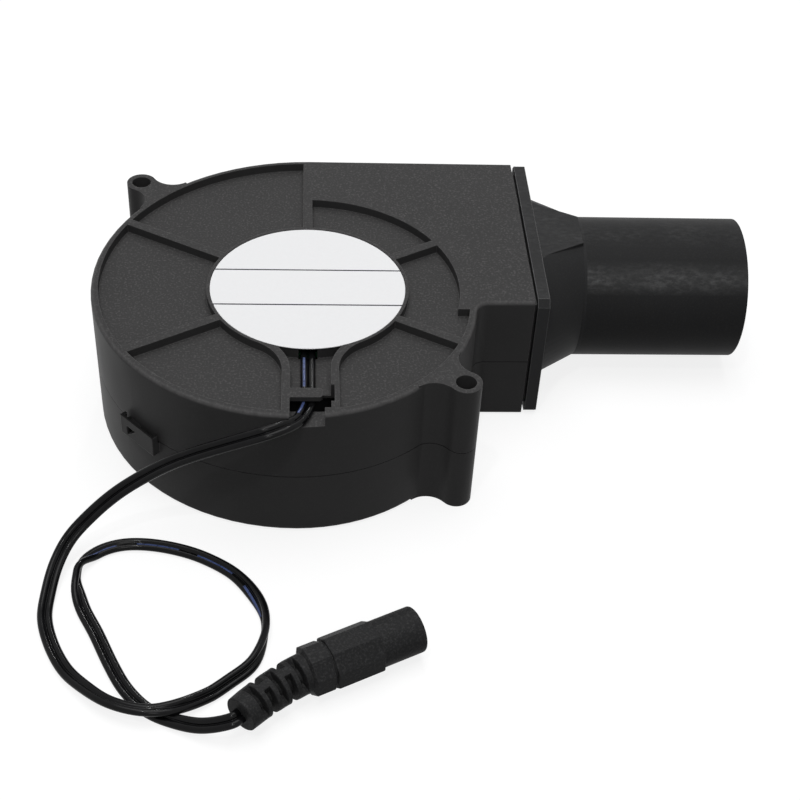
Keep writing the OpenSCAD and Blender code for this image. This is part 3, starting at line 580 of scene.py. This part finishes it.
# Values of the noise that make a pale dot, and the dots' strength on walls and on tops
DOT_SPAN = (0.52, 0.78)
DOT_SHARE = (0.06, 0.52)
# Rise of the normal where a rounded rim starts and ends, and how much rims and edges are lightened: rims by
# a painted highlight, edges by wear and painted highlight
RIM_START = (0.1, 0.5)
RIM_END = (0.99, 0.85)
RIM_HIGHLIGHT = 0.5
EDGE_WEAR_AND_HIGHLIGHT = 0.8
PATCHY_WEAR_AND_HIGHLIGHT = (0.4, 1.0)
# Roughness, what a top adds to it, and strength of the grain on walls and on tops
HOUSING_ROUGH = (0.42, 0.5)
TOP_ROUGH = (0.0, 0.12)
HOUSING_BUMP = (0.12, 0.5)
HOUSING_SHINE = 0.06
# Up-facing faces below this height, the catches' ledges, get painted shade
CATCH_TOP = 22.0
LEDGE_SHADE_SHARE = 0.85
# Parting line: height, half width, and the walls that show it, by a circle in the plan and the back wall
PARTING_Z = 16.0
PARTING_HALF = 0.14
WALL_C = (-2.1, 2.75, 0.0)
WALL_R = 45.6
BACK_Y = 50.9
IN_PLAN = (1.0, 1.0, 0.0)


def parting_line(n):
    """Mask of the thin joint between the two shells."""
    line = n.math("COMPARE", n.axis("Z"), PARTING_Z * MM, PARTING_HALF * MM)
    plan = n.add("ShaderNodeVectorMath", {0: n.coord, 1: IN_PLAN}, operation="MULTIPLY").outputs[0]
    centre = tuple(c * MM for c in WALL_C)
    out = n.add("ShaderNodeVectorMath", {0: plan, 1: centre}, operation="DISTANCE").outputs["Value"]
    on_wall = n.math("LESS_THAN", out, WALL_R * MM)
    on_right = n.math("GREATER_THAN", n.axis("X"), 0.0)
    before_back = n.math("LESS_THAN", n.axis("Y"), BACK_Y * MM)
    return n.product(line, n.math("MAXIMUM", on_wall, on_right), before_back)


def housing_look(name, base, speck_and_highlight):
    """Moulded black plastic: grained tops, smoother walls, edges pale from wear and painted highlight, a
    painted highlight on rounded rims, painted shade on the catches' ledges, and a dark parting line.
    """
    n = Look(name)
    up = n.upward()
    fine = n.noise(HOUSING_FINE)
    slow = n.noise(HOUSING_SLOW)
    rounded, edge_mask = n.edge(HOUSING_EDGE * MM)
    tone = n.drift(slow, base, HOUSING_TONES)
    dots = n.span(n.noise(HOUSING_DOTS), DOT_SPAN)
    tone = n.mix(n.product(dots, n.span(up, WHOLE, DOT_SHARE)), tone, speck_and_highlight)
    # Painted highlight on rounded rims, picked by the slope of the normal, and wear with painted highlight
    # on sharp edges, both made patchy
    slope = n.axis("Z", n.normal())
    rim = n.product(n.span(slope, RIM_START), n.span(slope, RIM_END))
    wear_and_highlight = n.math("MAXIMUM", n.product(edge_mask, EDGE_WEAR_AND_HIGHLIGHT), n.product(rim, RIM_HIGHLIGHT))
    tone = n.mix(n.product(wear_and_highlight, n.span(n.noise(HOUSING_PATCHES), MID, PATCHY_WEAR_AND_HIGHLIGHT)), tone, speck_and_highlight)
    # Painted shade: up-facing faces below CATCH_TOP are darkened, as the catches' ledges lie in shadow
    painted_ledge_shade = n.product(up, n.math("LESS_THAN", n.axis("Z"), CATCH_TOP * MM), LEDGE_SHADE_SHARE)
    tone = n.mix(painted_ledge_shade, tone, tint(base, LEDGE_SHADE_TONE))
    tone = n.mix(parting_line(n), tone, tint(base, SEAM_TONE))
    rough = n.math("ADD", n.span(slow, MID, HOUSING_ROUGH), n.span(up, WHOLE, TOP_ROUGH))
    grain = n.bump(fine, n.span(up, WHOLE, HOUSING_BUMP), HOUSING_DEPTH * MM, rounded)
    return n.set(Base_Color=tone, Roughness=rough, Normal=grain, Specular_IOR_Level=HOUSING_SHINE)


# Adapter: noises with their stretch along the pipe, width of a rounded edge, depth of the grain, and tones,
# among them painted light on the flange's sides and painted highlight on its edges
ADAPTER_FINE = (3000.0, 3.0, 0.65)
ADAPTER_SLOW = (60.0, 3.0, 0.6)
CLOUD = (170.0, 4.0, 0.7)
CLOUD_STRETCH = (0.6, 1.0, 1.0)
STREAK = (1100.0, 4.0, 0.7)
STREAK_STRETCH = (0.5, 1.0, 1.0)
ADAPTER_EDGE = 0.3
ADAPTER_DEPTH = 0.05
ADAPTER_TONES = (0.9, 1.1)
PIPE_TONE = 0.2
FLANGE_PAINTED_LIGHT = 1.7
MARK_TONE = 1.3
WORN_HIGHLIGHT_TONE = 2.5
# Start of the pipe, end of the flange, height of the band of painted highlight along the pipe, and how far
# off it is nil and full
PIPE_X = 64.3
FLANGE_X = 54.0
HIGHLIGHT_BAND_Z = 27.6
HIGHLIGHT_BAND_FADE = (3.0, 0.6)
# Rise of the normal on the crest and on the flange's sides, which get painted light, and strength of the
# marks on the crest
CREST_SLOPE = (0.94, 1.0)
CREST_SHARE = (0.0, 0.3)
FLANGE_SLOPE = (0.4, 0.05)
# Values of the noises that make a mark, and the mark's strength there
CLOUD_SPAN = (0.4, 0.62)
CLOUD_SHARE = (0.25, 1.0)
STREAK_SPAN = (0.42, 0.72)
STREAK_SHARE = (0.1, 1.0)
GRAIN_SPAN = (0.5, 0.8)
GRAIN_SHARE = (0.0, 0.12)
PIPE_SHARE = 0.25
HIGHLIGHT_BAND_SHARE = 0.2
MARK_SHARE = 0.75
WORN_HIGHLIGHT_SHARE = 0.8
ADAPTER_ROUGH = (0.48, 0.56)
ADAPTER_BUMP = 0.2
ADAPTER_SHINE = 0.06


def adapter_look(name, base, pale):
    """Smoother moulded plastic: flange edges pale from wear and painted highlight, painted light on the
    flange's sides, a band of painted highlight along the pipe, and mottled marks on top and along the pipe.
    """
    n = Look(name)
    fine = n.noise(ADAPTER_FINE)
    slow = n.noise(ADAPTER_SLOW)
    rounded, edge_mask = n.edge(ADAPTER_EDGE * MM)
    on_pipe = n.math("GREATER_THAN", n.axis("X"), PIPE_X * MM)
    on_flange = n.math("LESS_THAN", n.axis("X"), FLANGE_X * MM)
    slope = n.axis("Z", n.normal())
    crest = n.span(slope, CREST_SLOPE, CREST_SHARE)
    # Painted highlight: a pale band at one height along the pipe; the marks in this band are partly scuffs
    # and partly painted highlight
    off = n.math("ABSOLUTE", n.math("SUBTRACT", n.axis("Z"), HIGHLIGHT_BAND_Z * MM))
    highlight_band = n.product(n.span(off, tuple(d * MM for d in HIGHLIGHT_BAND_FADE)), on_pipe)
    clouds = n.span(n.noise(CLOUD, CLOUD_STRETCH), CLOUD_SPAN, CLOUD_SHARE)
    streaks = n.span(n.noise(STREAK, STREAK_STRETCH), STREAK_SPAN, STREAK_SHARE)
    marks = n.product(clouds, streaks, n.math("MAXIMUM", crest, highlight_band))
    tone = n.drift(slow, base, ADAPTER_TONES)
    tone = n.mix(n.product(on_pipe, PIPE_SHARE), tone, tint(base, PIPE_TONE))
    # Painted light: the flange's upright sides are lightened
    tone = n.mix(n.product(on_flange, n.span(slope, FLANGE_SLOPE)), tone, tint(base, FLANGE_PAINTED_LIGHT))
    tone = n.mix(n.span(fine, GRAIN_SPAN, GRAIN_SHARE), tone, pale)
    # Painted highlight along the pipe's band
    tone = n.mix(n.product(highlight_band, HIGHLIGHT_BAND_SHARE), tone, pale)
    tone = n.mix(n.product(marks, MARK_SHARE), tone, tint(pale, MARK_TONE))
    # Wear and painted highlight on the flange's edges
    tone = n.mix(n.product(edge_mask, on_flange, WORN_HIGHLIGHT_SHARE), tone, tint(pale, WORN_HIGHLIGHT_TONE))
    return n.set(Base_Color=tone, Roughness=n.span(slow, MID, ADAPTER_ROUGH),
                 Normal=n.bump(fine, ADAPTER_BUMP, ADAPTER_DEPTH * MM, rounded),
                 Specular_IOR_Level=ADAPTER_SHINE)


# Jack: noise, width of a worn edge, pale flecks and wear, and depth of the grain
JACK_FINE = (2200.0, 4.0, 0.7)
JACK_EDGE = 0.25
FLECK_SPAN = (0.48, 0.75)
FLECK_SHARE = (0.0, 0.45)
JACK_WEAR = 0.3
JACK_ROUGH = (0.42, 0.6)
JACK_BUMP = 0.6
JACK_DEPTH = 0.08
JACK_SHINE = 0.04


def jack_look(name, base, pale):
    """Soft moulded jack with a coarse spark-eroded grain."""
    n = Look(name)
    fine = n.noise(JACK_FINE)
    rounded, edge_mask = n.edge(JACK_EDGE * MM)
    tone = n.mix(n.span(fine, FLECK_SPAN, FLECK_SHARE), base, pale)
    tone = n.mix(n.product(edge_mask, JACK_WEAR), tone, pale)
    return n.set(Base_Color=tone, Roughness=n.span(fine, MID, JACK_ROUGH),
                 Normal=n.bump(fine, JACK_BUMP, JACK_DEPTH * MM, rounded), Specular_IOR_Level=JACK_SHINE)


# Label: fibre of the film, and places and half width of the two rules
FIBRE = (1500.0, 3.0, 0.6)
FILM_TONES = (0.98, 1.0)
RULES = (5.95, -6.55)
RULE_HALF = 0.2
FILM_ROUGH = (0.5, 0.6)
FILM_BUMP = 0.1
FILM_DEPTH = 0.02
FILM_SHINE = 0.1


def film_look(name, base, ink):
    """White label film: a faint fibre tone and two plain printed rules."""
    n = Look(name)
    fibre = n.noise(FIBRE)
    y = n.axis("Y")
    inked = [n.math("COMPARE", y, rule * MM, RULE_HALF * MM) for rule in RULES]
    tone = n.mix(n.math("MAXIMUM", *inked), n.drift(fibre, base, FILM_TONES), ink)
    return n.set(Base_Color=tone, Roughness=n.span(fibre, MID, FILM_ROUGH),
                 Normal=n.bump(fibre, FILM_BUMP, FILM_DEPTH * MM), Specular_IOR_Level=FILM_SHINE)


# Sheath: noises, dashes by pitch and share of it, half width of the line in degrees, and wear of the ink
SHEATH_SLOW = (220.0, 3.0, 0.6)
SHEATH_FINE = (1500.0, 2.0, 0.5)
INK_NOISE = (1200.0, 3.0, 0.7)
INK_SPAN = (0.3, 0.5)
INK_SHARE = (0.25, 1.0)
DASH_PITCH = 13.5
DASH_SHARE = 0.68
PRINT_HALF = 20.0
SHEATH_TONES = (0.7, 1.3)
SHEATH_ROUGH = (0.12, 0.2)
SHEATH_BUMP = 0.006
SHEATH_DEPTH = 0.02
SHEATH_SHINE = 0.12


def sheath_look(name, base, ink):
    """Shiny black wire sheath, with thin plain dashes printed along one strand."""
    n = Look(name)
    slow = n.noise(SHEATH_SLOW)
    fine = n.noise(SHEATH_FINE)
    along = n.add("ShaderNodeAttribute", attribute_name="along").outputs["Fac"]
    around = n.add("ShaderNodeAttribute", attribute_name="around").outputs["Fac"]
    dash = n.math("LESS_THAN", n.math("FRACT", n.math("DIVIDE", along, DASH_PITCH * MM)), DASH_SHARE)
    line = n.math("COMPARE", around, PRINT_ANGLE, PRINT_HALF)
    inked = n.product(dash, line, n.span(n.noise(INK_NOISE), INK_SPAN, INK_SHARE))
    tone = n.mix(inked, n.drift(slow, base, SHEATH_TONES), ink)
    return n.set(Base_Color=tone, Roughness=n.span(slow, MID, SHEATH_ROUGH),
                 Normal=n.bump(fine, SHEATH_BUMP, SHEATH_DEPTH * MM), Specular_IOR_Level=SHEATH_SHINE)


# Metals: detail and roughness of the marks, slow noise, tones, spread of the roughness, and depth
MARK_GRAIN = (4.0, 0.6)
METAL_SLOW = (300.0, 2.0, 0.5)
METAL_TONES = (0.88, 1.0)
METAL_ROUGH = (-0.06, 0.1)
METAL_BUMP = 0.15
METAL_DEPTH = 0.03


def metal_look(name, base, rough, scale, stretch):
    """Machined or drawn metal with fine marks."""
    n = Look(name)
    marks = n.noise((scale, *MARK_GRAIN), stretch)
    return n.set(Base_Color=n.drift(n.noise(METAL_SLOW), base, METAL_TONES), Metallic=1.0,
                 Roughness=n.span(marks, MID, tuple(rough + d for d in METAL_ROUGH)),
                 Normal=n.bump(marks, METAL_BUMP, METAL_DEPTH * MM))


# Other plastics and coatings: detail and roughness of the texture, tones, spread of the roughness and depth
PLAIN_GRAIN = (3.0, 0.6)
PLAIN_TONES = (0.85, 1.1)
PLAIN_ROUGH = (-0.05, 0.05)
PLAIN_BUMP = 0.2
PLAIN_DEPTH = 0.04


def moulded_look(name, base, rough, scale=1800.0, shine=0.3):
    """Plain moulded or coated surface with a faint texture."""
    n = Look(name)
    fine = n.noise((scale, *PLAIN_GRAIN))
    return n.set(Base_Color=n.drift(fine, base, PLAIN_TONES),
                 Roughness=n.span(fine, MID, tuple(rough + d for d in PLAIN_ROUGH)),
                 Normal=n.bump(fine, PLAIN_BUMP, PLAIN_DEPTH * MM), Specular_IOR_Level=shine)


# Stretch of the marks on turned pieces, and on stacked or wound ones
TURNED = (1.0, 1.0, 12.0)
LAYERED = (0.2, 0.2, 8.0)
# Each material slot's function, with colours first and then roughness, scale, and stretch or shine
LOOKS = {
    "housing_plastic": (housing_look, (0.046, 0.0453, 0.0453), (0.14, 0.136, 0.136)),
    "adapter_plastic": (adapter_look, (0.0235, 0.0235, 0.024), (0.1, 0.1, 0.1)),
    "label_film": (film_look, (0.9, 0.9, 0.905), (0.02, 0.02, 0.03)),
    "brass": (metal_look, (0.72, 0.55, 0.26), 0.3, 900.0, TURNED),
    "lamination": (metal_look, (0.36, 0.36, 0.37), 0.45, 900.0, LAYERED),
    "frame_plastic": (moulded_look, (0.75, 0.72, 0.62), 0.5),
    "copper": (metal_look, (0.62, 0.27, 0.12), 0.35, 1200.0, LAYERED),
    "board": (moulded_look, (0.03, 0.2, 0.08), 0.35, 900.0, 0.5),
    "component_plastic": (moulded_look, (0.05, 0.05, 0.055), 0.5),
    "steel": (metal_look, (0.62, 0.62, 0.63), 0.22, 900.0, TURNED),
    "yoke_steel": (metal_look, (0.3, 0.3, 0.31), 0.45, 700.0, TURNED),
    "magnet": (moulded_look, (0.09, 0.09, 0.09), 0.65),
    "impeller_plastic": (moulded_look, (0.028, 0.028, 0.029), 0.45, 2200.0, 0.25),
    "wire_sheath": (sheath_look, (0.005, 0.005, 0.0055), (0.06, 0.085, 0.2)),
    "jack_plastic": (jack_look, (0.0225, 0.0225, 0.023), (0.105, 0.105, 0.105)),
    "contact_metal": (metal_look, (0.75, 0.75, 0.74), 0.18, 900.0, TURNED),
}
looks = {slot: make(slot, *values) for slot, (make, *values) in LOOKS.items()}


def dress(obj, slot):
    obj.data.materials.clear()
    obj.data.materials.append(looks[slot])


for part in frame["record"]["subparts"]:
    dress(nodes[part["node"]], part["material_slot"])
for piece in (cord, *wires):
    dress(piece, "wire_sheath")
dress(label, "label_film")
dress(jack, "jack_plastic")

# Shading of the moulded pieces: faces that meet below this angle, in degrees, are smooth, and the rest sharp
SMOOTH_NODES = {"motor_housing": 30, "inlet_housing": 30, "outlet_adapter": 16, "jack_insulator": 30,
                "impeller": 30}
JACK_SMOOTH = 30
MERGE_GAP = 1e-6
FACE_WEIGHT = 100


def smooth_group(degrees):
    """Modifier tree that joins split points, drops stored normals and marks each edge smooth or sharp."""
    tree = bpy.data.node_groups.new(f"smooth_below_{degrees}", "GeometryNodeTree")
    tree.interface.new_socket("Geometry", in_out="INPUT", socket_type="NodeSocketGeometry")
    tree.interface.new_socket("Geometry", in_out="OUTPUT", socket_type="NodeSocketGeometry")
    n = Nodes(tree)
    angle = n.add("GeometryNodeInputMeshEdgeAngle").outputs["Unsigned Angle"]
    small = n.add("FunctionNodeCompare", {"A": angle, "B": math.radians(degrees)}, operation="LESS_THAN")
    chain = [n.add("NodeGroupInput"),
             n.add("GeometryNodeRemoveAttribute", {"Name": "custom_normal"}),
             n.add("GeometryNodeMergeByDistance", {"Distance": MERGE_GAP}),
             n.add("GeometryNodeSetShadeSmooth", domain="FACE"),
             n.add("GeometryNodeSetShadeSmooth", {"Shade Smooth": small.outputs["Result"]}, domain="EDGE"),
             n.add("NodeGroupOutput")]
    for a, b in zip(chain, chain[1:]):
        n.put(a.outputs[0], b.inputs[0])
    return tree


def smooth_parts():
    wanted = [(nodes[name], degrees) for name, degrees in SMOOTH_NODES.items()]
    wanted.append((jack, JACK_SMOOTH))
    groups = {degrees: smooth_group(degrees) for degrees in {d for _, d in wanted}}
    for obj, degrees in wanted:
        shade = obj.modifiers.new("smooth_round_faces", "NODES")
        shade.node_group = groups[degrees]
        weigh = obj.modifiers.new("flat_faces_first", "WEIGHTED_NORMAL")
        weigh.keep_sharp = True
        weigh.weight = FACE_WEIGHT


smooth_parts()

# Stage: a floor that keeps the shadow, and a world. Both are white to the eye and dim as light
FLOOR_HALF = 3.0
FLOOR_DROP = 0.05 * MM
FLOOR_DIM = (0.07, 0.07, 0.07)
FLOOR_WHITE = (0.24, 0.24, 0.24)
# Glow that makes the floor white to the eye, from near the object to far away
FLOOR_GLOW = (0.82, 1.0)
GLOW_FADE = (0.25, 1.0)
WORLD_TINT = (0.95, 0.97, 1.0)
WORLD_DIM = 0.19
WHITE = (1.0, 1.0, 1.0)
# Lamps: place, aim, size and power in watts
LAMPS = {
    "overhead": ((0.0, 0.1, 0.9), (0.02, 0.0, 0.0), 0.7, 4.5),
    "front_fill": ((0.05, -0.8, 0.75), (0.0, 0.0, 0.0), 0.35, 1.4),
    "highlight": ((-0.15, -0.35, 0.85), (0.0, -0.03, 0.0), 0.025, 0.9),
    "back_glint": ((0.03, 0.6, 0.6), (-0.03, -0.07, 0.0), 0.045, 0.6),
}


def white_to_eye(n, dim, white):
    """Shader that shows white to camera, glossy and transmitted rays, and dim to the rest."""
    path = n.add("ShaderNodeLightPath")
    seen = path.outputs["Is Camera Ray"]
    for other in ("Is Glossy Ray", "Is Transmission Ray"):
        seen = n.math("MAXIMUM", seen, path.outputs[other])
    return n.add("ShaderNodeMixShader", {0: seen, 1: dim, 2: white}).outputs[0]


def make_floor():
    corners = [(-1, -1), (1, -1), (1, 1), (-1, 1)]
    verts = [Vector((x * FLOOR_HALF, y * FLOOR_HALF, -FLOOR_DROP)) for x, y in corners]
    floor = mesh_object("floor", verts, [(0, 1, 2, 3)], smooth_faces=False)
    mat = bpy.data.materials.new("floor_white")
    mat.use_nodes = True
    n = Nodes(mat.node_tree)
    n.tree.nodes.remove(n.tree.nodes["Principled BSDF"])
    dim = n.add("ShaderNodeBsdfDiffuse", {"Color": FLOOR_DIM}).outputs[0]
    white = n.add("ShaderNodeBsdfDiffuse", {"Color": FLOOR_WHITE}).outputs[0]
    place = n.add("ShaderNodeTexCoord").outputs["Object"]
    away = n.add("ShaderNodeVectorMath", {0: place}, operation="LENGTH").outputs["Value"]
    glow = n.add("ShaderNodeEmission", {"Strength": n.span(away, GLOW_FADE, FLOOR_GLOW)}).outputs[0]
    both = n.add("ShaderNodeAddShader", {0: white, 1: glow}).outputs[0]
    n.put(white_to_eye(n, dim, both), n.tree.nodes["Material Output"].inputs["Surface"])
    floor.data.materials.append(mat)


def make_world():
    world = bpy.data.worlds.new("studio")
    scene.world = world
    world.use_nodes = True
    n = Nodes(world.node_tree)
    dim = n.tree.nodes["Background"]
    n.put(WORLD_TINT, dim.inputs["Color"])
    n.put(WORLD_DIM, dim.inputs["Strength"])
    white = n.add("ShaderNodeBackground", {"Color": WHITE, "Strength": 1.0})
    n.put(white_to_eye(n, dim.outputs[0], white.outputs[0]), n.tree.nodes["World Output"].inputs["Surface"])


def make_lamp(name, at, look_at, size, watts):
    data = bpy.data.lights.new(name, "AREA")
    data.shape = "DISK"
    data.size = size
    data.energy = watts
    lamp = bpy.data.objects.new(name, data)
    lamp.location = at
    lamp.rotation_euler = (Vector(look_at) - Vector(at)).to_track_quat("-Z", "Y").to_euler()
    scene.collection.objects.link(lamp)


make_floor()
make_world()
for lamp_name, lamp_values in LAMPS.items():
    make_lamp(lamp_name, *lamp_values)
scene.view_settings.view_transform = "Standard"
